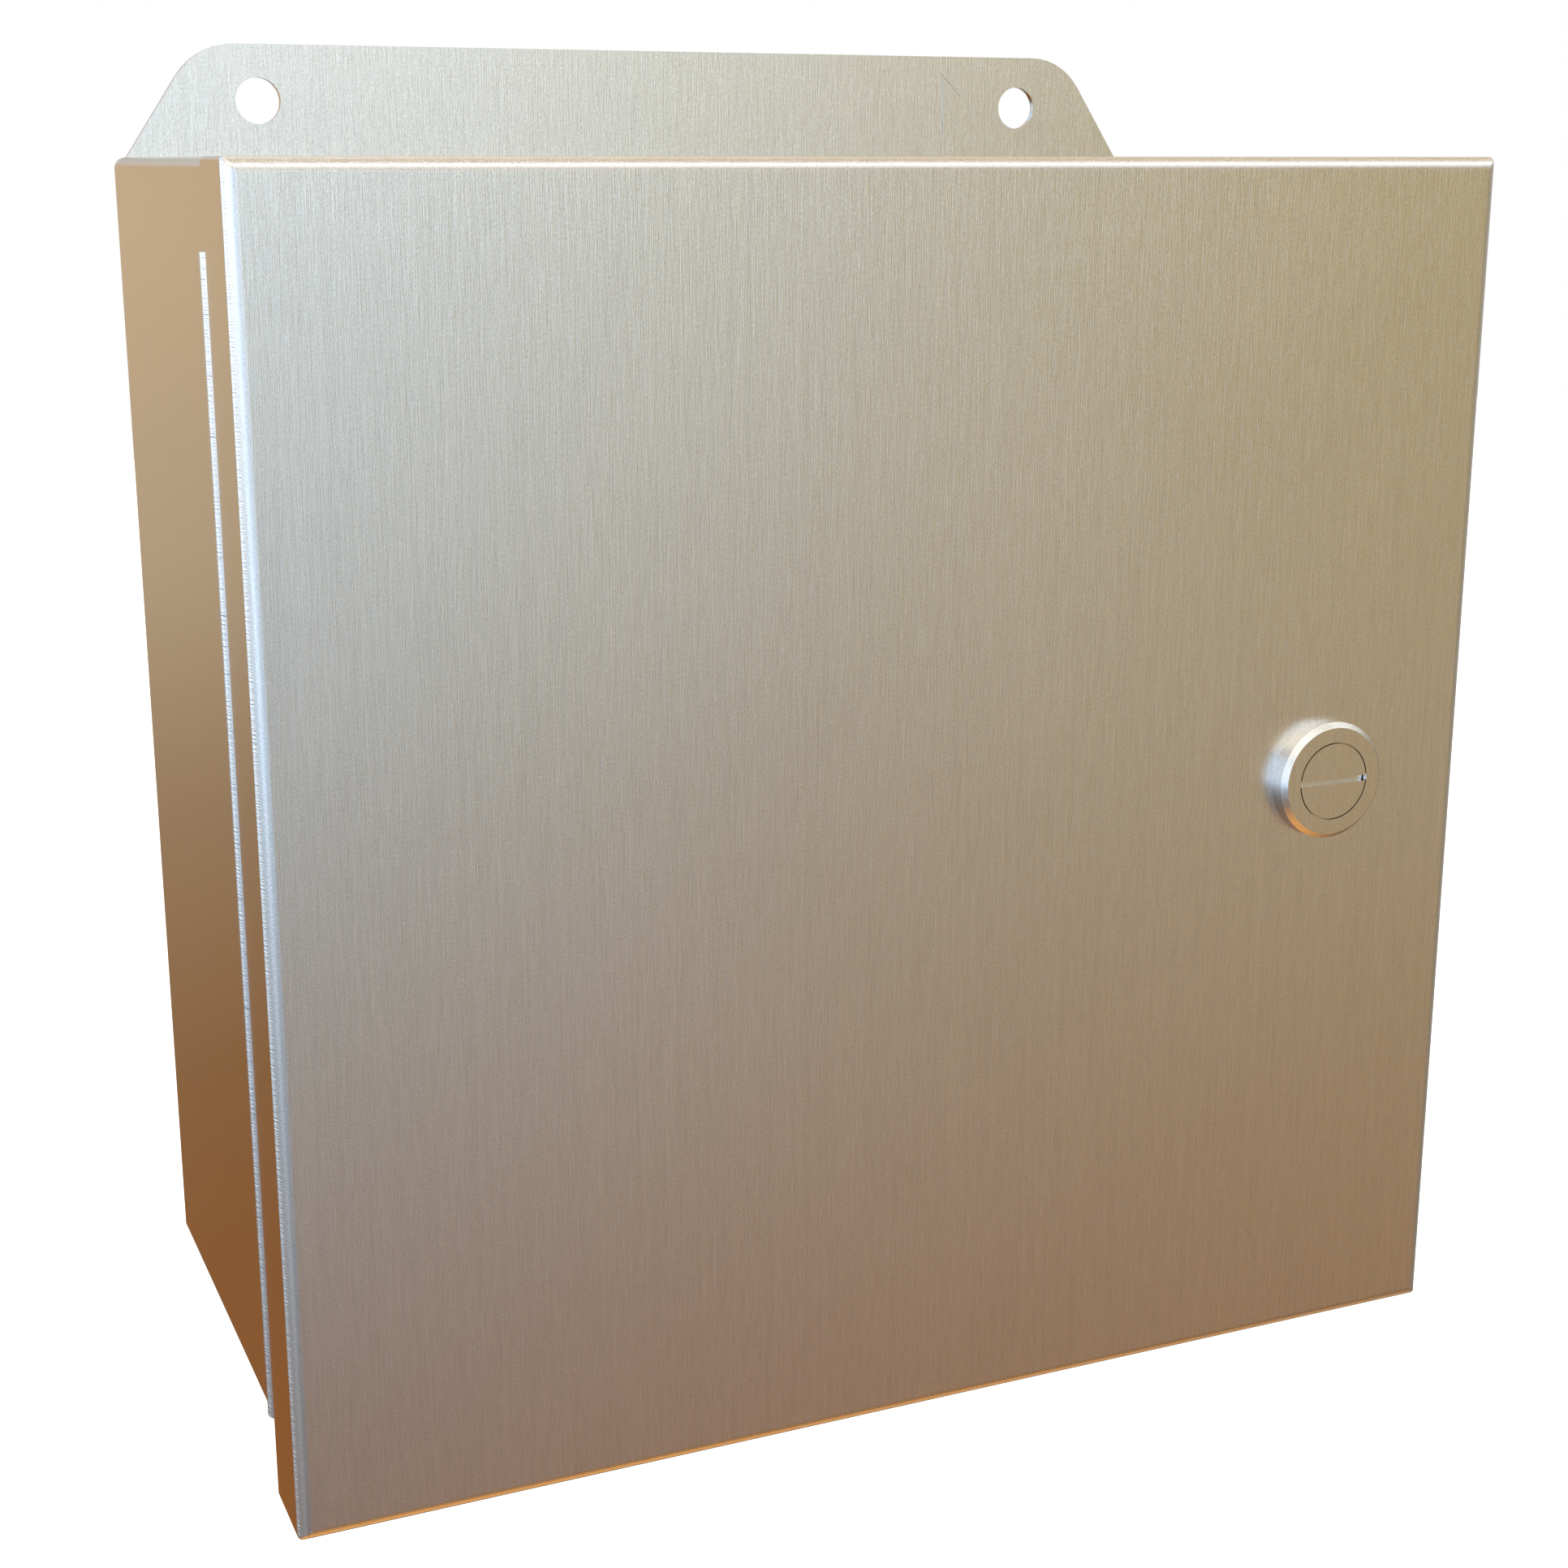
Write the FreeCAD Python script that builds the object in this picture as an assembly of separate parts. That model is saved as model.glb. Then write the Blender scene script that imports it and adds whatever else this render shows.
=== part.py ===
import FreeCAD, Part
import math
import os

# Wall-mounting stainless steel enclosure: a welded box with a hinged door and a quarter-turn latch.
#
# Frame: origin at the centre of the four wall bolt holes, on the rear face. +X is right as seen from
# the front, +Y goes into the wall, +Z is up. So the door is at negative Y. Lengths are millimetres.

V = FreeCAD.Vector

# ---- driving dimensions -------------------------------------------------------------------------

SHEET = 2.0                     # 14 gauge stainless sheet
BEND_OUT = 3.0                  # outer radius of every bend
BEND_IN = BEND_OUT - SHEET      # inner radius of every bend

BODY_SIZE = 304.8               # the box is square, 12 inches each way
BODY_DEPTH = 152.4              # rear face to the front shoulder
HALF = BODY_SIZE / 2

LIP_INSET = 10.0                # outer wall to the outer face of the forward lip
LIP_FRONT = -169.7              # Y of the lip's front edge, which the gasket seals against

DOOR_FACE = -177.8              # Y of the door's outer face
DOOR_FLANGE = 22.9              # depth of the door's four side flanges
DOOR_OVERHANG = 6.0             # the door is wider than the box on the hinge side
DOOR_LEFT = -HALF - DOOR_OVERHANG
DOOR_BACK = DOOR_FACE + DOOR_FLANGE
DOOR_INNER = DOOR_FACE + SHEET
DOOR_CORNER = 1.0               # the welded corners are ground to this radius

FLANGE_RISE = 29.0              # how far each wall flange stands past the box
FLANGE_FOOT = 149.4             # half width of a wall flange where it leaves the box
FLANGE_SHOULDER = 129.8         # half width where its slanted ends would meet its outer edge
FLANGE_CORNER = 19.0            # radius between slanted end and outer edge
HOLE_SPACING_X = 228.6
HOLE_RADIUS = 6.0
HOLE_RISE = 14.5                # hole centre above the box
HOLE_SPACING_Z = 2 * (HALF + HOLE_RISE)

MARK_X = 89.0                   # engraved this-way-up arrow on the upper flange
MARK_HEIGHT = 18.0
MARK_HEAD = 6.0
MARK_STROKE = 0.9
MARK_DEPTH = 0.3

RUNNING = 0.05                  # radial clearance of everything that turns or screws together
OVERCUT = 1.0                   # how far a cutting tool runs past the surface that it cuts
THREAD_CHAMFER = 0.6            # on the end of every small stud

HINGE_LENGTH = 266.7
KNUCKLES = 21                   # odd: the box leaf has the first and the last
KNUCKLE_GAP = 0.1
HINGE_SHEET = 1.5
PIN_RADIUS = 1.6
PIN_ROUND = 0.4                 # rounded ends, and how much shorter than the hinge it is
BARREL_RADIUS = PIN_RADIUS + RUNNING + HINGE_SHEET
AXIS_X = DOOR_LEFT + 2.6
AXIS_Y = -BODY_DEPTH - HINGE_SHEET + BARREL_RADIUS
BOX_LEAF_START = -HALF + 0.4    # just inside the outer wall
BOX_LEAF_EDGE = -HALF + LIP_INSET - BEND_IN - 0.2
DOOR_LEAF_FRONT = -172.0
TONGUE_END = AXIS_Y - PIN_RADIUS - RUNNING - 0.3

GASKET_WIDTH = 12.0
GASKET_THICK = 6.0
GASKET_ROUND = 2.0
GASKET_CORNER_IN = 2.0
GASKET_CORNER_OUT = 12.0

LATCH_X = 110.4
HEAD_RISE = 4.8                 # latch head above the door's outer face
HEAD_FACE_R = 13.75
HEAD_RIM_R = 15.0
HEAD_BASE_R = 15.2              # the head's side has a slight draft
RIM_RISE = 3.5                  # the rim above the door's outer face
BARREL_R = 11.0                 # threaded barrel through the door
BARREL_CHAMFER = 0.8
BARREL_ROOM = 0.2               # radial room in the door's hole
SEAL_IN = 12.5                  # flat ring under the head
SEAL_OUT = 14.5
SEAL_THICK = 1.15
SEAL_ROOM = 0.1                 # radial room in its groove
SEAL_GROOVE = 1.2               # depth of the groove
TOOTHED_R = 16.0
TOOTHED_THICK = 1.0
TOOTHED_NOTCHES = 12
NOTCH_R = 1.1
NOTCH_AT = 16.2
CLAMP_NUT_FLATS = 30.0
CLAMP_NUT_HIGH = 6.0
PLUG_HEAD_R = 9.7
PLUG_BORE_R = 10.0
PLUG_HEAD_DEPTH = 2.6
PLUG_SEAT_GAP = 0.2             # under the plug's head
PLUG_SHAFT_R = 7.0
PLUG_SQUARE = 8.0
RING_GROOVE_AT = 6.0            # O-ring groove behind the door's face
RING_GROOVE_WIDE = 2.0
RING_GROOVE_DEEP = 1.2
RING_WIDE = 1.8
RING_ROUND = 0.4
RING_OUT = PLUG_SHAFT_R + 0.04
RING_IN = PLUG_SHAFT_R - 1.15
SLOT_WIDTH = 1.5
SLOT_DEPTH = 1.6
CAM_GAP = 1.2                   # running gap in front of the cam
CAM_FRONT = -BODY_DEPTH + SHEET + CAM_GAP
BARREL_END = CAM_FRONT - CAM_GAP
CAM_THICK = 3.0
CAM_HUB_R = 10.0
CAM_TIP_R = 7.0
CAM_REACH = 36.0
CAM_EDGE = 0.5                  # rounded edge of the cam
CAM_WASHER_R = 8.0
CAM_WASHER_BORE = 3.2
CAM_WASHER_THICK = 1.5
CAM_SCREW_R = 3.0
CAM_SCREW_REACH = 13.0          # how far it screws into the plug
CAM_SCREW_HOLE = 14.0
CAM_SCREW_FLATS = 10.0
CAM_SCREW_HEAD = 4.0

PANEL_SIZE = 273.0
PANEL_CORNER = 6.0
STUD_SPACING = 254.0
STUD_R = 3.175
STUD_END = -30.0
COLLAR_R = 5.5
COLLAR_HEIGHT = 12.7
PANEL_BACK = -SHEET - COLLAR_HEIGHT
PANEL_FRONT = PANEL_BACK - SHEET
PANEL_HOLE_R = STUD_R + 0.6
PANEL_WASHER_R = 8.0
PANEL_WASHER_THICK = 1.5
PANEL_WASHER_BORE = STUD_R + 0.2
PANEL_NUT_FLATS = 11.1
PANEL_NUT_HIGH = 5.5

BOND_STUD_R = 3.0
BOND_STUD_LENGTH = 18.0
BOND_FOOT_R = 4.5               # the stud's welded foot
BOND_FOOT = 1.2
BOND_NUT_FLATS = 10.0
BOND_NUT_HIGH = 5.0
BOND_WASHER_R = 6.5
BOND_WASHER_THICK = 1.2
DOOR_BOND = (-112.0, -112.0)    # X, Z on the inside of the door
BOX_BOND = (-75.0, -112.0)      # Y, Z on the inside of the left wall


# ---- helpers ------------------------------------------------------------------------------------

def block(x0, x1, y0, y1, z0, z1):
    """A box between two corners."""
    return Part.makeBox(x1 - x0, y1 - y0, z1 - z0, V(x0, y0, z0))


def rounded_face(x0, x1, z0, z1, radius, y):
    """A flat rounded rectangle in the plane at y."""
    k = radius * (1 - math.sqrt(0.5))
    corners = [
        ((x1 - radius, z0), (x1 - k, z0 + k), (x1, z0 + radius)),
        ((x1, z1 - radius), (x1 - k, z1 - k), (x1 - radius, z1)),
        ((x0 + radius, z1), (x0 + k, z1 - k), (x0, z1 - radius)),
        ((x0, z0 + radius), (x0 + k, z0 + k), (x0 + radius, z0)),
    ]
    edges = []
    start = V(x0 + radius, y, z0)
    for first, middle, last in corners:
        a, b, c = (V(p[0], y, p[1]) for p in (first, middle, last))
        edges += [Part.makeLine(start, a), Part.Arc(a, b, c).toShape()]
        start = c
    return Part.Face(Part.Wire(edges))


def prism(half, radius, y0, y1):
    """A square rounded prism centred on the Y axis, from y0 to y1."""
    return rounded_face(-half, half, -half, half, radius, y0).extrude(V(0, y1 - y0, 0))


def rod(x, z, radius, y0, y1):
    """A cylinder along Y."""
    return Part.makeCylinder(radius, y1 - y0, V(x, y0, z), V(0, 1, 0))


def tube(x, z, outer, inner, y0, y1):
    """A round tube along Y."""
    return rod(x, z, outer, y0, y1).cut(rod(x, z, inner, y0 - OVERCUT, y1 + OVERCUT))


def turned(points, x, z):
    """A solid of revolution about the Y line at x, z. Each point is (radius, y)."""
    outline = [V(x + radius, y, z) for radius, y in points]
    face = Part.Face(Part.makePolygon(outline + outline[:1]))
    return face.revolve(V(x, 0, z), V(0, 1, 0), 360)


def hexagon(x, z, across_flats, y0, y1):
    """A hexagonal prism along Y with its corners chamfered at both ends, as on a real nut."""
    corner = across_flats / math.sqrt(3)
    points = [
        V(x + corner * math.cos(math.radians(60 * i)), y0, z + corner * math.sin(math.radians(60 * i)))
        for i in range(7)
    ]
    body = Part.Face(Part.makePolygon(points)).extrude(V(0, y1 - y0, 0))
    rise = (corner - across_flats / 2) * 0.6
    dome = turned(
        [(0, y0), (across_flats / 2, y0), (corner, y0 + rise), (corner, y1 - rise),
         (across_flats / 2, y1), (0, y1)], x, z)
    return body.common(dome)


def nut(x, z, across_flats, bore, y0, y1):
    """A hexagonal nut along Y."""
    return hexagon(x, z, across_flats, y0, y1).cut(rod(x, z, bore, y0 - OVERCUT, y1 + OVERCUT))


def edges_where(shape, test):
    """The edges whose every sampled point passes the test."""
    found = []
    for edge in shape.Edges:
        first, last = edge.ParameterRange
        samples = [edge.valueAt(first + (last - first) * t) for t in (0.05, 0.5, 0.95)]
        if all(test(p) for p in samples):
            found.append(edge)
    return found


def near(a, b):
    return abs(a - b) < 1e-4


def on_square(point, half):
    """True for a point on the outline of a square prism of that half size, rounded corners included."""
    return max(abs(point.x), abs(point.z)) > half - 1.0


def export(name, shape):
    """Writes one checked STEP file for a node."""
    if not shape.isValid():
        raise ValueError(name + " is not a valid shape")
    for solid in shape.Solids:
        if solid.Volume <= 0:
            raise ValueError(name + " holds a solid with no volume")
    shape.exportStep(os.path.join("parts", name + ".step"))
    print(name, len(shape.Solids), "solids", round(shape.Volume, 1), "mm3")


# ---- the welded box -----------------------------------------------------------------------------

def body_wrapper():
    """The four walls, bent round from one strip, with the front edge folded in and then forward as a lip."""
    shoulder_back = -BODY_DEPTH + SHEET
    lip_out = HALF - LIP_INSET
    lip_in = lip_out - SHEET
    walls = prism(HALF, BEND_OUT + 0.1, -BODY_DEPTH, -SHEET)
    walls = walls.cut(prism(HALF - SHEET, BEND_IN + 0.1, shoulder_back, 0))
    lip = prism(lip_out, BEND_OUT, LIP_FRONT, shoulder_back)
    hole = prism(lip_in, BEND_IN, LIP_FRONT - OVERCUT, shoulder_back + OVERCUT)
    shape = walls.fuse(lip).cut(hole).removeSplitter()

    def outer_front(p):
        return near(p.y, -BODY_DEPTH) and on_square(p, HALF)

    def inner_back(p):
        return near(p.y, shoulder_back) and not on_square(p, lip_out)

    def lip_root(p):
        return near(p.y, -BODY_DEPTH) and not on_square(p, HALF)

    def wall_root(p):
        return near(p.y, shoulder_back) and on_square(p, HALF - SHEET)

    for test, radius in (
        (outer_front, BEND_OUT), (inner_back, BEND_OUT - 0.1), (lip_root, BEND_IN), (wall_root, BEND_IN),
    ):
        shape = shape.makeFillet(radius, edges_where(shape, test))
    return shape


def flange_outline(y):
    """The rear plate's outline in the plane at y: the box's square with a slanted flange above and below."""
    top = HALF + FLANGE_RISE
    slope = math.atan2(FLANGE_RISE, FLANGE_FOOT - FLANGE_SHOULDER)
    tangent = FLANGE_CORNER * math.tan(slope / 2)
    flat = FLANGE_SHOULDER - tangent
    slant = (FLANGE_SHOULDER + tangent * math.cos(slope), top - tangent * math.sin(slope))
    centre_z = top - FLANGE_CORNER
    middle = (
        flat + FLANGE_CORNER * math.sin(slope / 2),
        centre_z + FLANGE_CORNER * math.cos(slope / 2),
    )
    k = BEND_OUT * (1 - math.sqrt(0.5))
    quarter = [
        ("line", (HALF, 0), (HALF, HALF - BEND_OUT)),
        ("arc", (HALF, HALF - BEND_OUT), (HALF - k, HALF - k), (FLANGE_FOOT, HALF)),
        ("line", (FLANGE_FOOT, HALF), slant),
        ("arc", slant, middle, (flat, top)),
        ("line", (flat, top), (0, top)),
    ]
    edges = []
    for sx, sz in ((1, 1), (-1, 1), (-1, -1), (1, -1)):
        for kind, *points in quarter:
            corner = [V(sx * x, y, sz * z) for x, z in points]
            edges.append(Part.makeLine(*corner) if kind == "line" else Part.Arc(*corner).toShape())
    return Part.Wire(Part.__sortEdges__(edges))


def arrow_mark():
    """A plain upward arrow, engraved in the upper flange's front face."""
    middle = HALF + FLANGE_RISE / 2
    tip = middle + MARK_HEIGHT / 2
    y0 = -SHEET - OVERCUT
    y1 = -SHEET + MARK_DEPTH
    stroke = MARK_STROKE / 2
    stem = block(MARK_X - stroke, MARK_X + stroke, y0, y1, middle - MARK_HEIGHT / 2, tip - stroke)
    arms = []
    for side in (-1, 1):
        arm = block(-stroke, stroke, y0, y1, -MARK_HEAD * math.sqrt(2), stroke)
        arm.rotate(V(0, 0, 0), V(0, 1, 0), -side * 45)
        arm.translate(V(MARK_X, 0, tip))
        arms.append(arm)
    return stem.fuse(arms)


def back_panel():
    """The flat rear plate. It carries both wall flanges and the four wall bolt holes."""
    plate = Part.Face(flange_outline(-SHEET)).extrude(V(0, SHEET, 0))
    for sx in (-1, 1):
        for sz in (-1, 1):
            x = sx * HOLE_SPACING_X / 2
            z = sz * HOLE_SPACING_Z / 2
            plate = plate.cut(rod(x, z, HOLE_RADIUS, -SHEET - OVERCUT, OVERCUT))
    return plate.cut(arrow_mark())


# ---- the door -----------------------------------------------------------------------------------

def door_panel():
    """The door pan: one sheet with four bent flanges, their corners mitred, welded and lightly ground."""
    outer = block(DOOR_LEFT, HALF, DOOR_FACE, DOOR_BACK, -HALF, HALF)
    outer = outer.makeFillet(BEND_OUT, edges_where(outer, lambda p: near(p.y, DOOR_FACE)))

    def at_corner(p):
        across = min(abs(p.x - DOOR_LEFT), abs(p.x - HALF))
        return near(across, HALF - abs(p.z)) and across < BEND_OUT - 0.01

    outer = outer.makeFillet(DOOR_CORNER, edges_where(outer, at_corner))
    inner = block(
        DOOR_LEFT + SHEET, HALF - SHEET, DOOR_INNER, DOOR_BACK + OVERCUT, -HALF + SHEET, HALF - SHEET)
    inner = inner.makeFillet(BEND_IN, edges_where(inner, lambda p: near(p.y, DOOR_INNER)))
    pan = outer.cut(inner)
    return pan.cut(rod(LATCH_X, 0, BARREL_R + BARREL_ROOM, DOOR_FACE - OVERCUT, DOOR_INNER + OVERCUT))


def door_gasket():
    """The foamed-in-place seal: one closed bead on the inside of the door, under the lip's front edge."""
    middle = HALF - LIP_INSET - SHEET / 2
    out = middle + GASKET_WIDTH / 2
    inn = middle - GASKET_WIDTH / 2
    top = DOOR_INNER + GASKET_THICK
    ring = prism(out, GASKET_CORNER_OUT, DOOR_INNER, top)
    ring = ring.cut(prism(inn, GASKET_CORNER_IN, DOOR_INNER - OVERCUT, top + OVERCUT))
    return ring.makeFillet(GASKET_ROUND, edges_where(ring, lambda p: near(p.y, top)))


# ---- the continuous hinge -----------------------------------------------------------------------

def knuckle_spans(first):
    """The Z spans of every other knuckle, starting with knuckle number first."""
    pitch = HINGE_LENGTH / KNUCKLES
    spans = []
    for i in range(first, KNUCKLES, 2):
        low = -HINGE_LENGTH / 2 + i * pitch
        spans.append((low + KNUCKLE_GAP / 2, low + pitch - KNUCKLE_GAP / 2))
    return spans


def knuckle(z0, z1, tongue):
    """One rolled knuckle with the tongue that joins it to its leaf."""
    ring = Part.makeCylinder(BARREL_RADIUS, z1 - z0, V(AXIS_X, AXIS_Y, z0))
    bore = Part.makeCylinder(PIN_RADIUS + RUNNING, z1 - z0 + 2 * OVERCUT, V(AXIS_X, AXIS_Y, z0 - OVERCUT))
    return ring.fuse(tongue).cut(bore)


def hinge_box_leaf():
    """The leaf welded to the front shoulder of the box, with every other knuckle."""
    front = -BODY_DEPTH - HINGE_SHEET
    low = -HINGE_LENGTH / 2
    leaf = block(BOX_LEAF_START, BOX_LEAF_EDGE, front, -BODY_DEPTH, low, low + HINGE_LENGTH)
    knuckles = [
        knuckle(z0, z1, block(AXIS_X, BOX_LEAF_EDGE, front, -BODY_DEPTH, z0, z1))
        for z0, z1 in knuckle_spans(0)
    ]
    return leaf.fuse(knuckles).removeSplitter()


def hinge_door_leaf():
    """The leaf welded inside the door's hinge-side flange, with the other knuckles."""
    x0 = DOOR_LEFT + SHEET
    x1 = x0 + HINGE_SHEET
    low = -HINGE_LENGTH / 2
    leaf = block(x0, x1, DOOR_LEAF_FRONT, DOOR_BACK, low, low + HINGE_LENGTH)
    knuckles = [
        knuckle(z0, z1, block(x0, x1, DOOR_BACK - OVERCUT, TONGUE_END, z0, z1))
        for z0, z1 in knuckle_spans(1)
    ]
    return leaf.fuse(knuckles).removeSplitter()


def hinge_pin():
    """The pin through every knuckle, with slightly rounded ends."""
    length = HINGE_LENGTH - PIN_ROUND
    pin = Part.makeCylinder(PIN_RADIUS, length, V(AXIS_X, AXIS_Y, -length / 2))
    return pin.makeFillet(PIN_ROUND, edges_where(pin, lambda p: near(abs(p.z), length / 2)))


# ---- the quarter-turn latch ---------------------------------------------------------------------

def latch_housing():
    """Round chamfered head outside the door and threaded barrel through it, bored for the plug."""
    face = DOOR_FACE - HEAD_RISE
    floor = face + PLUG_HEAD_DEPTH + PLUG_SEAT_GAP
    bore = PLUG_SHAFT_R + RUNNING
    groove = DOOR_FACE - SEAL_GROOVE
    return turned([
        (bore, floor), (PLUG_BORE_R, floor), (PLUG_BORE_R, face), (HEAD_FACE_R, face),
        (HEAD_RIM_R, DOOR_FACE - RIM_RISE), (HEAD_BASE_R, DOOR_FACE),
        (SEAL_OUT + SEAL_ROOM, DOOR_FACE), (SEAL_OUT + SEAL_ROOM, groove),
        (SEAL_IN - SEAL_ROOM, groove), (SEAL_IN - SEAL_ROOM, DOOR_FACE), (BARREL_R, DOOR_FACE),
        (BARREL_R, BARREL_END - BARREL_CHAMFER), (BARREL_R - BARREL_CHAMFER, BARREL_END),
        (bore, BARREL_END),
    ], LATCH_X, 0)


def latch_seal():
    """The flat rubber ring squeezed in the groove under the latch head."""
    return tube(LATCH_X, 0, SEAL_OUT, SEAL_IN, DOOR_FACE - SEAL_THICK, DOOR_FACE)


def latch_washer():
    """Toothed washer between the door and the latch nut."""
    back = DOOR_INNER + TOOTHED_THICK
    washer = tube(LATCH_X, 0, TOOTHED_R, BARREL_R + 2 * RUNNING, DOOR_INNER, back)
    for i in range(TOOTHED_NOTCHES):
        angle = 2 * math.pi * i / TOOTHED_NOTCHES
        x = LATCH_X + NOTCH_AT * math.cos(angle)
        z = NOTCH_AT * math.sin(angle)
        washer = washer.cut(rod(x, z, NOTCH_R, DOOR_INNER - OVERCUT, back + OVERCUT))
    return washer


def latch_nut():
    """The large nut that clamps the latch to the door."""
    seat = DOOR_INNER + TOOTHED_THICK
    return nut(LATCH_X, 0, CLAMP_NUT_FLATS, BARREL_R + RUNNING, seat, seat + CLAMP_NUT_HIGH)


def latch_plug():
    """The slotted plug: its head, its shaft with an O-ring groove, and the square that drives the cam."""
    face = DOOR_FACE - HEAD_RISE
    under = face + PLUG_HEAD_DEPTH
    groove = DOOR_FACE + RING_GROOVE_AT
    groove_end = groove + RING_GROOVE_WIDE
    neck = PLUG_SHAFT_R - RING_GROOVE_DEEP
    back = CAM_FRONT + CAM_THICK
    plug = turned([
        (0, face), (PLUG_HEAD_R, face), (PLUG_HEAD_R, under), (PLUG_SHAFT_R, under),
        (PLUG_SHAFT_R, groove), (neck, groove), (neck, groove_end), (PLUG_SHAFT_R, groove_end),
        (PLUG_SHAFT_R, CAM_FRONT), (0, CAM_FRONT),
    ], LATCH_X, 0)
    s = PLUG_SQUARE / 2
    plug = plug.fuse(block(LATCH_X - s, LATCH_X + s, CAM_FRONT - OVERCUT, back - 2 * RUNNING, -s, s))
    wide = PLUG_BORE_R + OVERCUT
    slot = block(
        LATCH_X - wide, LATCH_X + wide, face - OVERCUT, face + SLOT_DEPTH, -SLOT_WIDTH / 2, SLOT_WIDTH / 2)
    plug = plug.cut(slot)
    return plug.cut(rod(LATCH_X, 0, CAM_SCREW_R + RUNNING, back - CAM_SCREW_HOLE, back + OVERCUT))


def plug_o_ring():
    """The O-ring in the plug's groove, squeezed to the bore."""
    low = DOOR_FACE + RING_GROOVE_AT + 2 * RUNNING
    high = low + RING_WIDE
    ring = tube(LATCH_X, 0, RING_OUT, RING_IN, low, high)

    def outer_edge(p):
        return math.hypot(p.x - LATCH_X, p.z) > PLUG_SHAFT_R and (near(p.y, low) or near(p.y, high))

    return ring.makeFillet(RING_ROUND, edges_where(ring, outer_edge))


def latch_cam():
    """The flat cam, pointing straight up when the latch is open."""
    y0 = CAM_FRONT
    y1 = CAM_FRONT + CAM_THICK
    tip = CAM_REACH - CAM_TIP_R
    lean = math.asin((CAM_HUB_R - CAM_TIP_R) / tip)
    c, s = math.cos(lean), math.sin(lean)
    hub = [V(LATCH_X + side * CAM_HUB_R * c, y0, CAM_HUB_R * s) for side in (1, -1)]
    end = [V(LATCH_X + side * CAM_TIP_R * c, y0, tip + CAM_TIP_R * s) for side in (1, -1)]
    wire = Part.Wire([
        Part.Arc(hub[1], V(LATCH_X, y0, -CAM_HUB_R), hub[0]).toShape(),
        Part.makeLine(hub[0], end[0]),
        Part.Arc(end[0], V(LATCH_X, y0, CAM_REACH), end[1]).toShape(),
        Part.makeLine(end[1], hub[1]),
    ])
    cam = Part.Face(wire).extrude(V(0, CAM_THICK, 0))
    cam = cam.makeFillet(CAM_EDGE, edges_where(cam, lambda p: near(p.y, y1)))
    h = PLUG_SQUARE / 2 + RUNNING
    return cam.cut(block(LATCH_X - h, LATCH_X + h, y0 - OVERCUT, y1 + OVERCUT, -h, h))


def cam_washer():
    """The washer over the square, behind the cam."""
    back = CAM_FRONT + CAM_THICK
    return tube(LATCH_X, 0, CAM_WASHER_R, CAM_WASHER_BORE, back, back + CAM_WASHER_THICK)


def cam_screw():
    """The M6 screw that holds the cam on the plug."""
    seat = CAM_FRONT + CAM_THICK + CAM_WASHER_THICK
    head = hexagon(LATCH_X, 0, CAM_SCREW_FLATS, seat, seat + CAM_SCREW_HEAD)
    return head.fuse(rod(LATCH_X, 0, CAM_SCREW_R, seat - CAM_SCREW_REACH, seat + OVERCUT)).removeSplitter()


# ---- the inner panel and the bonding studs ------------------------------------------------------

def stud_places():
    """X, Z of the four panel studs."""
    h = STUD_SPACING / 2
    return [(-h, -h), (h, -h), (h, h), (-h, h)]


def collar_studs():
    """Four collar studs welded to the rear plate."""
    studs = []
    for x, z in stud_places():
        collar = rod(x, z, COLLAR_R, PANEL_BACK, -SHEET)
        root = PANEL_BACK + OVERCUT
        shank = turned([
            (0, STUD_END), (STUD_R - THREAD_CHAMFER, STUD_END), (STUD_R, STUD_END + THREAD_CHAMFER),
            (STUD_R, root), (0, root),
        ], x, z)
        studs.append(collar.fuse(shank).removeSplitter())
    return Part.makeCompound(studs)


def inner_panel():
    """The removable mounting plate that the devices screw to."""
    half = PANEL_SIZE / 2
    plate = prism(half, PANEL_CORNER, PANEL_FRONT, PANEL_BACK)
    for x, z in stud_places():
        plate = plate.cut(rod(x, z, PANEL_HOLE_R, PANEL_FRONT - OVERCUT, PANEL_BACK + OVERCUT))
    return plate


def panel_washers():
    """One flat washer on each panel stud."""
    front = PANEL_FRONT - PANEL_WASHER_THICK
    return Part.makeCompound([
        tube(x, z, PANEL_WASHER_R, PANEL_WASHER_BORE, front, PANEL_FRONT) for x, z in stud_places()
    ])


def panel_nuts():
    """One hexagonal nut on each panel stud."""
    seat = PANEL_FRONT - PANEL_WASHER_THICK
    return Part.makeCompound([
        nut(x, z, PANEL_NUT_FLATS, STUD_R + RUNNING, seat - PANEL_NUT_HIGH, seat)
        for x, z in stud_places()
    ])


def bond_stack():
    """A bonding stud standing up the Y axis from the origin, with its two washers and two nuts."""
    end = BOND_STUD_LENGTH
    stud = turned([
        (0, 0), (BOND_FOOT_R, 0), (BOND_FOOT_R, BOND_FOOT), (BOND_STUD_R, BOND_FOOT),
        (BOND_STUD_R, end - THREAD_CHAMFER), (BOND_STUD_R - THREAD_CHAMFER, end), (0, end),
    ], 0, 0)
    bore = BOND_STUD_R + RUNNING
    washer_bore = BOND_STUD_R + 4 * RUNNING
    first = BOND_FOOT + BOND_NUT_HIGH
    second = first + BOND_WASHER_THICK
    washers = [tube(0, 0, BOND_WASHER_R, washer_bore, y, y + BOND_WASHER_THICK) for y in (first, second)]
    outer_nut = second + BOND_WASHER_THICK
    nuts = [nut(0, 0, BOND_NUT_FLATS, bore, y, y + BOND_NUT_HIGH) for y in (BOND_FOOT, outer_nut)]
    return stud, Part.makeCompound(washers), Part.makeCompound(nuts)


def door_bond_set():
    """The bonding stud set on the inside of the door."""
    pieces = bond_stack()
    for piece in pieces:
        piece.translate(V(DOOR_BOND[0], DOOR_INNER, DOOR_BOND[1]))
    return pieces


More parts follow.
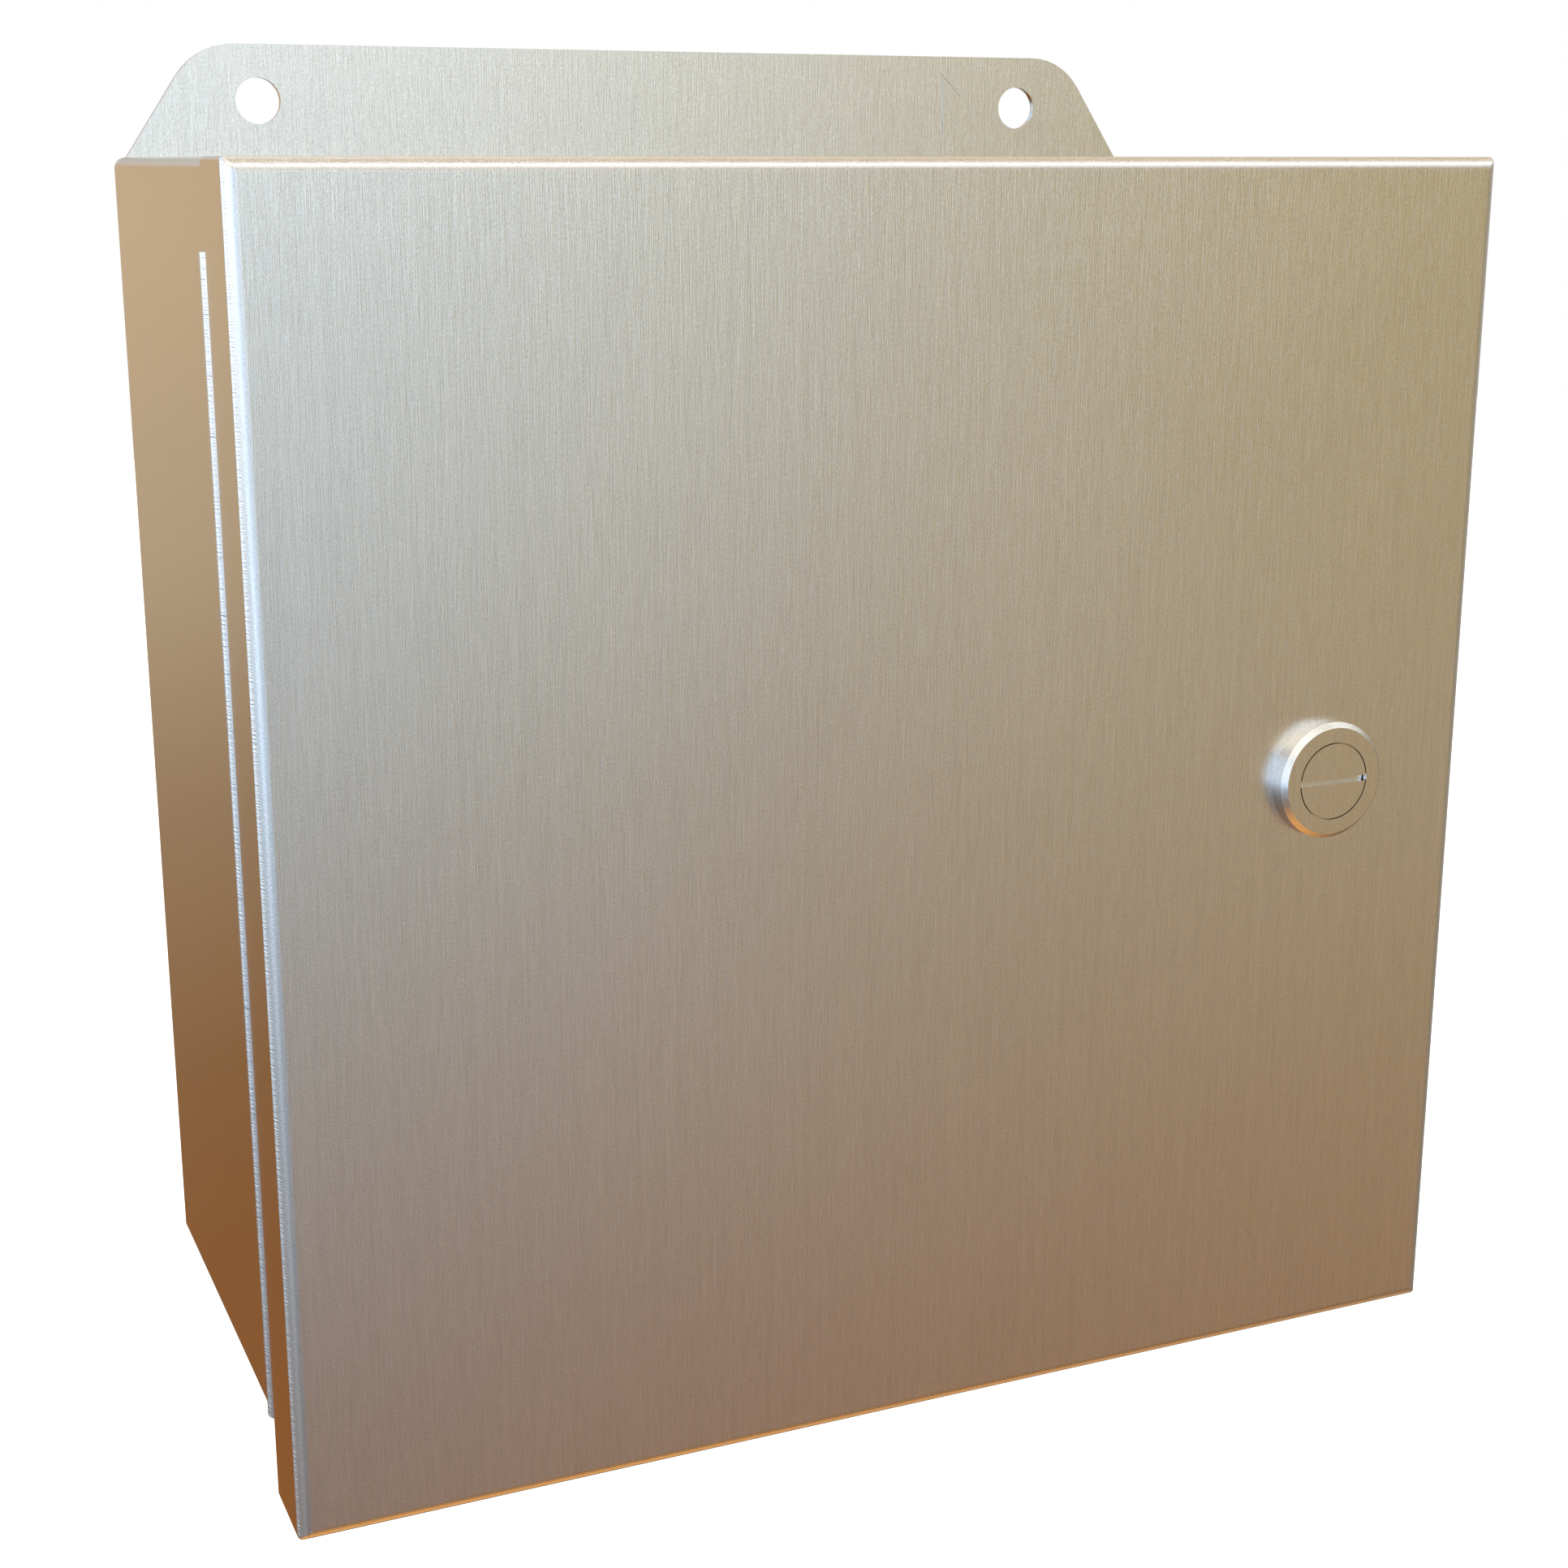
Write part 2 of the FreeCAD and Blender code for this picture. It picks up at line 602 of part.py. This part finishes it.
def box_bond_set():
    """The bonding stud set on the inside of the left wall, pointing right."""
    pieces = bond_stack()
    for piece in pieces:
        piece.rotate(V(0, 0, 0), V(0, 0, 1), -90)
        piece.translate(V(-HALF + SHEET, BOX_BOND[0], BOX_BOND[1]))
    return pieces


# ---- write every node ---------------------------------------------------------------------------

def main():
    os.makedirs("parts", exist_ok=True)
    nodes = {
        "body_wrapper": body_wrapper(),
        "back_panel": back_panel(),
        "door_panel": door_panel(),
        "door_gasket": door_gasket(),
        "hinge_box_leaf": hinge_box_leaf(),
        "hinge_door_leaf": hinge_door_leaf(),
        "hinge_pin": hinge_pin(),
        "latch_housing": latch_housing(),
        "latch_seal": latch_seal(),
        "latch_washer": latch_washer(),
        "latch_nut": latch_nut(),
        "latch_plug": latch_plug(),
        "plug_o_ring": plug_o_ring(),
        "latch_cam": latch_cam(),
        "cam_washer": cam_washer(),
        "cam_screw": cam_screw(),
        "collar_studs": collar_studs(),
        "inner_panel": inner_panel(),
        "panel_washers": panel_washers(),
        "panel_nuts": panel_nuts(),
    }
    for prefix, pieces in (("door_bond", door_bond_set()), ("box_bond", box_bond_set())):
        for suffix, piece in zip(("stud", "washers", "nuts"), pieces):
            nodes[prefix + "_" + suffix] = piece
    for name, shape in nodes.items():
        export(name, shape)


main()
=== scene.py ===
import math

import bpy
from mathutils import Matrix, Vector


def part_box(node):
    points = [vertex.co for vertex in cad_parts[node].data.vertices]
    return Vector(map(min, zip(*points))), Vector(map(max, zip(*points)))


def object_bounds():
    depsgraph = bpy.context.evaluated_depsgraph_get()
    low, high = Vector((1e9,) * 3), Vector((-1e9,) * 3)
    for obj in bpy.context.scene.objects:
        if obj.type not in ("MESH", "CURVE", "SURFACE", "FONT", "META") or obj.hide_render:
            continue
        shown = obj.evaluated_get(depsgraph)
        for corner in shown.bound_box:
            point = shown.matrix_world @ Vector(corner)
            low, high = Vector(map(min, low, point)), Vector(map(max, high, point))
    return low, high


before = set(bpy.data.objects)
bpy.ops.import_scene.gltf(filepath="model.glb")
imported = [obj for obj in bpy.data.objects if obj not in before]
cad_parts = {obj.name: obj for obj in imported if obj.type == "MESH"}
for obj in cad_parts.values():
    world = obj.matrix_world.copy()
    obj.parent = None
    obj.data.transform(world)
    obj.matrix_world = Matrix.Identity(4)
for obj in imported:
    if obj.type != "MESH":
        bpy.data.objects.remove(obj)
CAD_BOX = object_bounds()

# A brushed stainless steel wall enclosure in a bright studio. Lengths are metres, in the part's frame:
# +X right as seen from the front, +Y into the wall, +Z up.

MM = 0.001

# ---- camera and floor ---------------------------------------------------------------------------

CAMERA_LEFT = 92.8 * MM         # how far the camera stands left of the door's left edge
CAMERA_AWAY = 486.9 * MM        # and in front of the door's face
CAMERA_BELOW_TOP = 0.9 * MM     # its height is almost that of the door's top
CAMERA_YAW = 23.57              # degrees from straight ahead, to the right
CAMERA_PITCH = 14.55            # degrees down
CAMERA_LENS = 55.13             # millimetres on a 36 mm square sensor
SENSOR = 36.0

FLOOR_BELOW = 0.45              # how far the floor lies under the box
FLOOR_HALF = 6.0                # half its width

# ---- surfaces -----------------------------------------------------------------------------------

STEEL = (0.60, 0.585, 0.56)     # stainless steel's own colour, linear
MILL_STEEL = (0.58, 0.57, 0.56)
ZINC = (0.66, 0.67, 0.68)
PANEL_WHITE = (0.66, 0.66, 0.645)
FOAM_BLACK = (0.05, 0.05, 0.05)
RUBBER_BLACK = (0.03, 0.03, 0.03)
LINE_ACROSS = 4800.0            # brush lines per metre, across the brushing
LINE_ALONG = 140.0              # and along it
SCRATCH_ACROSS = 3000.0         # the same for the longer, brighter scratches
SCRATCH_ALONG = 45.0
GRAIN = 3600.0                  # fine speckle per metre, across and along the brushing
GRAIN_ALONG = 1500.0
BAND_ACROSS = 500.0             # broad faint bands left by the brushing
BAND_ALONG = 9.0
TICK_ACROSS = 120.0             # short marks across the bends
TICK_ALONG = 2300.0
STEEL_CLOUD = 14.0              # soft unevenness of the steel, per metre
COAT_CLOUD = 20.0               # the same on powder coat
FOAM_CLOUD = 60.0               # and on foam
MOTTLE = 420.0                  # plating's mottle
TOOL_MARKS = 3500.0
ORANGE_PEEL = 900.0
FOAM_CELLS = 1400.0
RUBBER_CELLS = 5000.0

LINE_TONE = 0.32                # how strongly brush lines and the rest show in the steel's tone
SCRATCH_TONE = 0.07
GRAIN_TONE = 0.55
BAND_TONE = 0.10
CLOUD_TONE = 0.04
LINE_HEIGHT = 1.7               # and how strongly they show in its height
GRAIN_HEIGHT = 0.6
BEND_GRAIN_HEIGHT = 3.0
TICK_HEIGHT = 6.0
BUMP_STRENGTH = 0.8
BUMP_DEPTH = 0.035 * MM
BEND_PAINTED_HIGHLIGHT = 0.4             # painted highlight: how much brighter the colour of the bends is made than that of the flat faces
STRETCHED_GLOSS = 0.7           # anisotropy: highlights spread across the brush lines


class Nodes:
    """Short calls for building one node tree."""

    def __init__(self, tree):
        self.tree = tree
        tree.nodes.clear()

    def new(self, kind, inputs=None, **settings):
        node = self.tree.nodes.new(kind)
        for name, value in settings.items():
            setattr(node, name, value)
        for name, value in (inputs or {}).items():
            self.put(node.inputs[name], value)
        return node

    def put(self, socket, value):
        if isinstance(value, bpy.types.NodeSocket):
            self.tree.links.new(value, socket)
        else:
            socket.default_value = value

    def math(self, operation, a, b=0.0, c=0.0):
        return self.new("ShaderNodeMath", {0: a, 1: b, 2: c}, operation=operation).outputs[0]

    def smooth(self, value, low, high):
        """0 below low, 1 above high, and a smooth step between."""
        node = self.new(
            "ShaderNodeMapRange", {"Value": value, "From Min": low, "From Max": high},
            interpolation_type="SMOOTHSTEP")
        return node.outputs["Result"]

    def near(self, value, centre, full, none):
        """1 within full of the centre, 0 further than none from it."""
        distance = self.math("ABSOLUTE", self.math("SUBTRACT", value, centre))
        return self.smooth(distance, none, full)

    def times(self, a, b):
        return self.math("MULTIPLY", a, b)

    def centred(self, noise):
        """The same noise, either side of zero."""
        return self.math("SUBTRACT", noise, 0.5)

    def mix(self, factor, a, b):
        node = self.new("ShaderNodeMix", data_type="RGBA")
        self.put(node.inputs["Factor"], factor)
        self.put(node.inputs["A"], a)
        self.put(node.inputs["B"], b)
        return node.outputs["Result"]

    def ramp(self, factor, stops):
        """A colour ramp. Each stop is (place, (r, g, b))."""
        node = self.new("ShaderNodeValToRGB", {"Fac": factor})
        ramp = node.color_ramp
        ramp.interpolation = "LINEAR"
        while len(ramp.elements) < len(stops):
            ramp.elements.new(0.5)
        for element, (place, colour) in zip(ramp.elements, stops):
            element.position = place
            element.color = (*colour, 1)
        return node.outputs["Color"]

    def noise(self, vector, scale=1.0, detail=2.0, roughness=0.5):
        node = self.new(
            "ShaderNodeTexNoise",
            {"Vector": vector, "Scale": scale, "Detail": detail, "Roughness": roughness})
        return node.outputs["Fac"]

    def stretch(self, vector, scale):
        node = self.new("ShaderNodeVectorMath", {0: vector, 1: scale}, operation="MULTIPLY")
        return node.outputs[0]

    def tinted(self, colour, tone):
        """The colour, made lighter or darker by the tone."""
        return self.new("ShaderNodeVectorMath", {0: colour, "Scale": tone}, operation="SCALE").outputs[0]

    def bump(self, height, strength, depth):
        inputs = {"Height": height, "Strength": strength, "Distance": depth}
        return self.new("ShaderNodeBump", inputs).outputs[0]

    def surface(self, inputs):
        """Ends a material with a Principled shader that has these inputs."""
        shader = self.new("ShaderNodeBsdfPrincipled", inputs)
        self.new("ShaderNodeOutputMaterial", {"Surface": shader.outputs[0]})

    def across_brushing(self):
        """The direction in the surface that crosses up-and-down brush lines."""
        normal = self.new("ShaderNodeNewGeometry").outputs["Normal"]
        up = self.new(
            "ShaderNodeVectorTransform", {"Vector": (0, 0, 1)},
            vector_type="VECTOR", convert_from="OBJECT", convert_to="WORLD").outputs[0]
        across = self.new("ShaderNodeVectorMath", {0: normal, 1: up}, operation="CROSS_PRODUCT").outputs[0]
        # on a level face, where no direction crosses the lines, this leaves the part's X
        return self.new("ShaderNodeVectorMath", {0: across, 1: (0.001, 0, 0)}, operation="ADD").outputs[0]


def new_material(name):
    material = bpy.data.materials.new(name)
    material.use_nodes = True
    return material, Nodes(material.node_tree)


def brushed_steel(name, colour=STEEL, roughness=0.22, lines=1.0, speckle=1.0, ticks=1.0, turned=False):
    """Steel brushed up and down. The brush lines show on faces that look along Y, and the bent sides are
    smoother. Lines and grain are in the tone and in the height, so they glitter where the light changes.
    A painted highlight makes the bends brighter in colour than the flat faces, and all of a turned piece's
    rim too, in place of the bright reflections these places show."""
    material, n = new_material(name)
    coordinates = n.new("ShaderNodeTexCoord")
    place = coordinates.outputs["Object"]
    normal = n.new("ShaderNodeSeparateXYZ", {0: coordinates.outputs["Normal"]}).outputs
    tilt = n.math("ABSOLUTE", normal["Y"])      # 0 on a side, 1 on a face that looks along Y
    faces_front = n.smooth(tilt, 0.5, 0.98)
    bend = n.times(n.smooth(tilt, 0.02, 0.20), n.smooth(tilt, 0.97, 0.85))
    outer_bend = n.times(n.smooth(tilt, 0.0, 0.08), n.smooth(tilt, 0.70, 0.40))
    level_bend = n.smooth(n.math("ABSOLUTE", normal["Z"]), 0.02, 0.15)

    def pattern(across, along, detail, roughness=0.5):
        return n.noise(n.stretch(place, (across, across, along)), detail=detail, roughness=roughness)

    line = n.times(n.centred(pattern(LINE_ACROSS, LINE_ALONG, 2.0, 0.6)), faces_front)
    scratch = n.times(n.smooth(pattern(SCRATCH_ACROSS, SCRATCH_ALONG, 1.0), 0.60, 0.78), faces_front)
    band = n.times(n.centred(pattern(BAND_ACROSS, BAND_ALONG, 3.0)), faces_front)
    grain = n.centred(pattern(GRAIN, GRAIN_ALONG, 2.0, 0.8))
    tick = pattern(TICK_ACROSS, TICK_ALONG, 2.0)
    cloud = n.centred(n.noise(place, scale=STEEL_CLOUD, detail=3.0))

    tone = n.math("MULTIPLY_ADD", line, LINE_TONE * lines, 1.0)
    tone = n.math("MULTIPLY_ADD", scratch, SCRATCH_TONE * lines, tone)
    tone = n.math("MULTIPLY_ADD", grain, GRAIN_TONE * speckle, tone)
    tone = n.math("MULTIPLY_ADD", cloud, CLOUD_TONE, tone)
    tone = n.math("MULTIPLY_ADD", band, BAND_TONE * lines, tone)
    # painted highlight: the bends, or all of a turned piece's rim, are given a brighter colour in place of
    # their bright reflections
    bright = n.math("SUBTRACT", 1.0, faces_front) if turned else bend
    tone = n.math("MULTIPLY_ADD", bright, BEND_PAINTED_HIGHLIGHT, tone)
    gloss = n.math("MULTIPLY_ADD", faces_front, roughness * 0.4, roughness * 0.6)
    gloss = n.math("MULTIPLY_ADD", cloud, 0.04, gloss)

    coarse = n.times(bend, n.math("MULTIPLY_ADD", level_bend, 0.8, 0.2))
    coarse = n.math("MULTIPLY_ADD", coarse, BEND_GRAIN_HEIGHT, GRAIN_HEIGHT * speckle)
    height = n.math("MULTIPLY_ADD", line, LINE_HEIGHT * lines, n.times(grain, coarse))
    height = n.math("MULTIPLY_ADD", tick, n.times(outer_bend, TICK_HEIGHT * ticks), height)
    n.surface({
        "Base Color": n.tinted(colour, tone), "Metallic": 1.0, "Roughness": gloss,
        "Anisotropic": STRETCHED_GLOSS, "Tangent": n.across_brushing(),
        "Normal": n.bump(height, BUMP_STRENGTH, BUMP_DEPTH),
    })
    return material


def plain_metal(name, colour, roughness, mottling=0.08):
    """Plated or turned metal with a faint mottle and fine tool marks."""
    material, n = new_material(name)
    place = n.new("ShaderNodeTexCoord").outputs["Object"]
    mottle = n.centred(n.noise(place, scale=MOTTLE, detail=3.0))
    tool_marks = n.noise(place, scale=TOOL_MARKS, detail=2.0)
    n.surface({
        "Base Color": n.tinted(colour, n.math("MULTIPLY_ADD", mottle, mottling * 2, 1.0)),
        "Metallic": 1.0, "Roughness": n.math("MULTIPLY_ADD", mottle, 0.2, roughness),
        "Normal": n.bump(tool_marks, 0.15, 0.02 * MM),
    })
    return material


def powder_coat(name, colour):
    """White powder coat with its orange-peel texture."""
    material, n = new_material(name)
    place = n.new("ShaderNodeTexCoord").outputs["Object"]
    peel = n.noise(place, scale=ORANGE_PEEL, detail=2.0)
    cloud = n.centred(n.noise(place, scale=COAT_CLOUD, detail=3.0))
    n.surface({
        "Base Color": n.tinted(colour, n.math("MULTIPLY_ADD", cloud, 0.05, 1.0)),
        "Roughness": 0.38, "Coat Weight": 0.3, "Coat Roughness": 0.25,
        "Normal": n.bump(peel, 0.35, 0.05 * MM),
    })
    return material


def black_foam(name, colour, cells):
    """Foamed or moulded seal: soft black with open cells, of which there are this many in a metre."""
    material, n = new_material(name)
    place = n.new("ShaderNodeTexCoord").outputs["Object"]
    cell = n.new("ShaderNodeTexVoronoi", {"Vector": place, "Scale": cells}).outputs["Distance"]
    cloud = n.noise(place, scale=FOAM_CLOUD, detail=3.0)
    tone = n.math("MULTIPLY_ADD", cell, 0.8, n.math("MULTIPLY_ADD", cloud, 0.5, 0.4))
    n.surface({
        "Base Color": n.tinted(colour, tone), "Roughness": 0.75,
        "Normal": n.bump(cell, 0.6, 0.2 * MM),
    })
    return material


def dress(materials):
    """Gives every CAD node its material."""
    for name, material in materials.items():
        node = bpy.data.objects[name]
        node.data.materials.clear()
        node.data.materials.append(material)


def dress_all():
    box = brushed_steel("box_brushed")
    door = brushed_steel("door_brushed")
    latch = brushed_steel("latch_brushed", lines=0.6, speckle=0.7, ticks=0.0, turned=True)
    hinge = brushed_steel("hinge_mill", MILL_STEEL, lines=0.5)
    stud = plain_metal("stud_steel", MILL_STEEL, 0.28)
    zinc = plain_metal("zinc_plate", ZINC, 0.32, mottling=0.16)
    dress({
        "body_wrapper": box, "back_panel": box, "door_panel": door,
        "hinge_box_leaf": hinge, "hinge_door_leaf": hinge, "hinge_pin": hinge,
        "collar_studs": stud, "door_bond_stud": stud, "box_bond_stud": stud,
        "latch_housing": latch, "latch_plug": latch,
        "latch_washer": zinc, "latch_nut": zinc, "latch_cam": zinc, "cam_washer": zinc, "cam_screw": zinc,
        "panel_washers": zinc, "panel_nuts": zinc, "door_bond_washers": zinc, "door_bond_nuts": zinc,
        "box_bond_washers": zinc, "box_bond_nuts": zinc,
        "inner_panel": powder_coat("panel_powder_coat", PANEL_WHITE),
        "door_gasket": black_foam("gasket_foam", FOAM_BLACK, FOAM_CELLS),
        "latch_seal": black_foam("seal_rubber", RUBBER_BLACK, RUBBER_CELLS),
        "plug_o_ring": black_foam("ring_rubber", RUBBER_BLACK, RUBBER_CELLS),
    })


# ---- studio -------------------------------------------------------------------------------------

def make_camera():
    low, high = (Vector(p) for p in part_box("door_panel"))
    yaw, pitch = math.radians(CAMERA_YAW), math.radians(CAMERA_PITCH)
    ahead = Vector((math.sin(yaw) * math.cos(pitch), math.cos(yaw) * math.cos(pitch), -math.sin(pitch)))
    right = Vector((math.cos(yaw), -math.sin(yaw), 0))
    up = right.cross(ahead)
    data = bpy.data.cameras.new("camera")
    data.lens = CAMERA_LENS
    data.sensor_width = SENSOR
    data.clip_start = 0.01
    camera = bpy.data.objects.new("camera", data)
    place = Vector((low.x - CAMERA_LEFT, low.y - CAMERA_AWAY, high.z - CAMERA_BELOW_TOP))
    camera.matrix_world = Matrix.Translation(place) @ Matrix((right, up, -ahead)).transposed().to_4x4()
    bpy.context.scene.collection.objects.link(camera)
    bpy.context.scene.camera = camera


def left_wall(n, turn, lift):
    """Bluish white, bluest at the front left, with a darker upright stretch in the middle."""
    wall = n.ramp(lift, [
        (0.25, (0.28, 0.20, 0.15)), (0.33, (0.29, 0.27, 0.27)), (0.39, (0.52, 0.60, 0.72)),
        (0.43, (0.88, 1.12, 1.40)), (0.48, (1.28, 1.38, 1.48)),
        (0.56, (1.32, 1.40, 1.50)), (0.60, (0.90, 0.93, 0.95)),
    ])
    dip = n.times(n.near(turn, -0.22, 0.02, 0.10), n.smooth(lift, 0.50, 0.45))
    wall = n.mix(n.math("MULTIPLY", dip, 0.35), wall, (0.2, 0.2, 0.2, 1))
    blue = n.times(n.near(turn, -0.105, 0.035, 0.06), n.smooth(lift, 0.405, 0.44))
    return n.mix(blue, wall, (1.10, 1.36, 1.75, 1))


def walls(n, turn, lift):
    """The studio round the object. turn is the bearing: 0 straight in front (-Y), 0.25 on the right and
    -0.25 on the left. lift is 0 straight down, 0.5 level and 1 straight up."""
    front = n.ramp(lift, [
        (0.30, (0.45, 0.285, 0.215)), (0.34, (0.46, 0.36, 0.325)), (0.42, (0.58, 0.63, 0.64)),
        (0.50, (1.17, 1.48, 1.76)), (0.515, (1.75, 2.02, 2.25)), (0.55, (1.45, 1.62, 1.68)),
        (0.60, (0.95, 0.98, 0.94)), (0.66, (1.3, 1.3, 1.25)),
    ])
    beige = n.ramp(lift, [
        (0.25, (0.46, 0.245, 0.095)), (0.34, (0.465, 0.248, 0.118)), (0.42, (0.605, 0.435, 0.232)),
        (0.50, (0.66, 0.485, 0.18)), (0.52, (0.72, 0.56, 0.24)), (0.55, (0.69, 0.54, 0.28)),
        (0.60, (0.58, 0.47, 0.31)), (0.66, (0.9, 0.8, 0.65)),
    ])
    grey = n.ramp(lift, [
        (0.25, (0.23, 0.20, 0.16)), (0.40, (0.36, 0.32, 0.27)), (0.50, (0.50, 0.465, 0.405)),
        (0.60, (0.75, 0.72, 0.67)),
    ])
    dark_corner = n.ramp(lift, [
        (0.30, (0.19, 0.08, 0.022)), (0.42, (0.27, 0.18, 0.10)), (0.50, (0.36, 0.29, 0.20)),
    ])
    tan = n.ramp(lift, [
        (0.30, (0.39, 0.133, 0.028)), (0.36, (0.325, 0.12, 0.026)), (0.385, (0.325, 0.15, 0.046)),
        (0.42, (0.42, 0.262, 0.137)), (0.45, (0.61, 0.445, 0.275)), (0.49, (0.75, 0.545, 0.335)),
    ])
    panel = n.times(n.near(turn, 0.008, 0.012, 0.028), n.smooth(lift, 0.495, 0.515))
    front = n.mix(panel, front, (2.30, 2.60, 2.80, 1))
    right = n.mix(n.smooth(turn, 0.13, 0.19), beige, grey)
    colour = n.mix(n.smooth(turn, 0.012, 0.095), front, right)
    colour = n.mix(n.smooth(turn, 0.045, -0.04), colour, left_wall(n, turn, lift))
    colour = n.mix(n.smooth(turn, -0.418, -0.43), colour, dark_corner)
    colour = n.mix(n.smooth(turn, -0.44, -0.465), colour, tan)
    return n.mix(n.smooth(n.math("ABSOLUTE", turn), 0.485, 0.50), colour, grey)


def ceiling(n, x, y, z):
    """White in front and cream behind, with a dark beam between them and a bright window at the front
    left. roll runs over the top, from level in front, 0, to level behind, 1."""
    roll = n.math("DIVIDE", n.math("ARCTAN2", z, n.math("MULTIPLY", y, -1.0)), math.pi)
    roll = n.math("MULTIPLY_ADD", n.smooth(x, 0.44, 0.60), -0.12, roll)     # the beam runs askew
    colour = n.ramp(roll, [
        (0.18, (1.2, 1.2, 1.17)), (0.24, (1.6, 1.6, 1.56)), (0.38, (1.6, 1.6, 1.56)),
        (0.405, (0.33, 0.25, 0.16)), (0.485, (0.33, 0.25, 0.16)), (0.525, (0.85, 0.80, 0.70)),
        (0.60, (1.22, 1.14, 1.01)), (0.72, (1.2, 1.12, 1.0)), (0.97, (0.6, 0.45, 0.3)),
    ])
    warm = n.times(n.smooth(x, 0.22, 0.48), n.smooth(roll, 0.48, 0.53))
    colour = n.mix(warm, colour, (0.88, 0.67, 0.44, 1))
    window = n.times(n.smooth(x, -0.02, -0.20), n.smooth(y, 0.10, -0.20))
    window = n.times(window, n.smooth(x, -0.60, -0.42))
    return n.mix(window, colour, (1.75, 1.68, 1.47, 1))


def make_world():
    """The studio that the steel mirrors, by direction. What the camera sees directly is plain white."""
    world = bpy.data.worlds.new("studio")
    bpy.context.scene.world = world
    world.use_nodes = True
    n = Nodes(world.node_tree)
    direction = n.new("ShaderNodeTexCoord").outputs["Generated"]
    x, y, z = n.new("ShaderNodeSeparateXYZ", {0: direction}).outputs
    turn = n.math("DIVIDE", n.math("ARCTAN2", x, n.math("MULTIPLY", y, -1.0)), math.tau)
    lift = n.math("ADD", n.math("DIVIDE", n.math("ARCSINE", z), math.pi), 0.5)

    colour = n.mix(n.smooth(lift, 0.57, 0.68), walls(n, turn, lift), ceiling(n, x, y, z))
    blue_behind = n.times(n.smooth(x, -0.04, -0.20), n.smooth(y, 0.10, 0.40))
    blue_behind = n.times(blue_behind, n.smooth(lift, 0.53, 0.58))
    colour = n.mix(blue_behind, colour, (0.92, 1.10, 1.32, 1))
    warm_below = n.times(n.smooth(z, -0.68, -0.97), n.smooth(y, 0.42, 0.20))
    colour = n.mix(warm_below, colour, (0.97, 0.465, 0.15, 1))
    dark_spot = n.times(n.near(lift, 0.655, 0.015, 0.045), n.near(turn, -0.131, 0.015, 0.035))
    colour = n.mix(dark_spot, colour, (0.22, 0.23, 0.24, 1))

    seen = n.new("ShaderNodeLightPath").outputs["Is Camera Ray"]
    colour = n.mix(seen, colour, (1, 1, 1, 1))
    background = n.new("ShaderNodeBackground", {"Color": colour, "Strength": 1.0})
    n.new("ShaderNodeOutputWorld", {"Surface": background.outputs[0]})


def make_floor():
    """A wide pale floor, well below the box, which hangs on its wall flanges."""
    low, high = CAD_BOX
    level = low[2] - FLOOR_BELOW
    size = FLOOR_HALF
    mesh = bpy.data.meshes.new("floor")
    corners = [(-size, -size, level), (size, -size, level), (size, size, level), (-size, size, level)]
    mesh.from_pydata(corners, [], [(0, 1, 2, 3)])
    floor = bpy.data.objects.new("floor", mesh)
    bpy.context.scene.collection.objects.link(floor)
    material, n = new_material("pale_floor")
    n.surface({
        "Base Color": (0.92, 0.92, 0.92, 1), "Roughness": 0.8,
        "Emission Color": (1, 1, 1, 1), "Emission Strength": 0.6,
    })
    mesh.materials.append(material)
    floor.visible_glossy = False


bpy.context.scene.view_settings.view_transform = "Standard"
make_camera()
make_world()
make_floor()
dress_all()
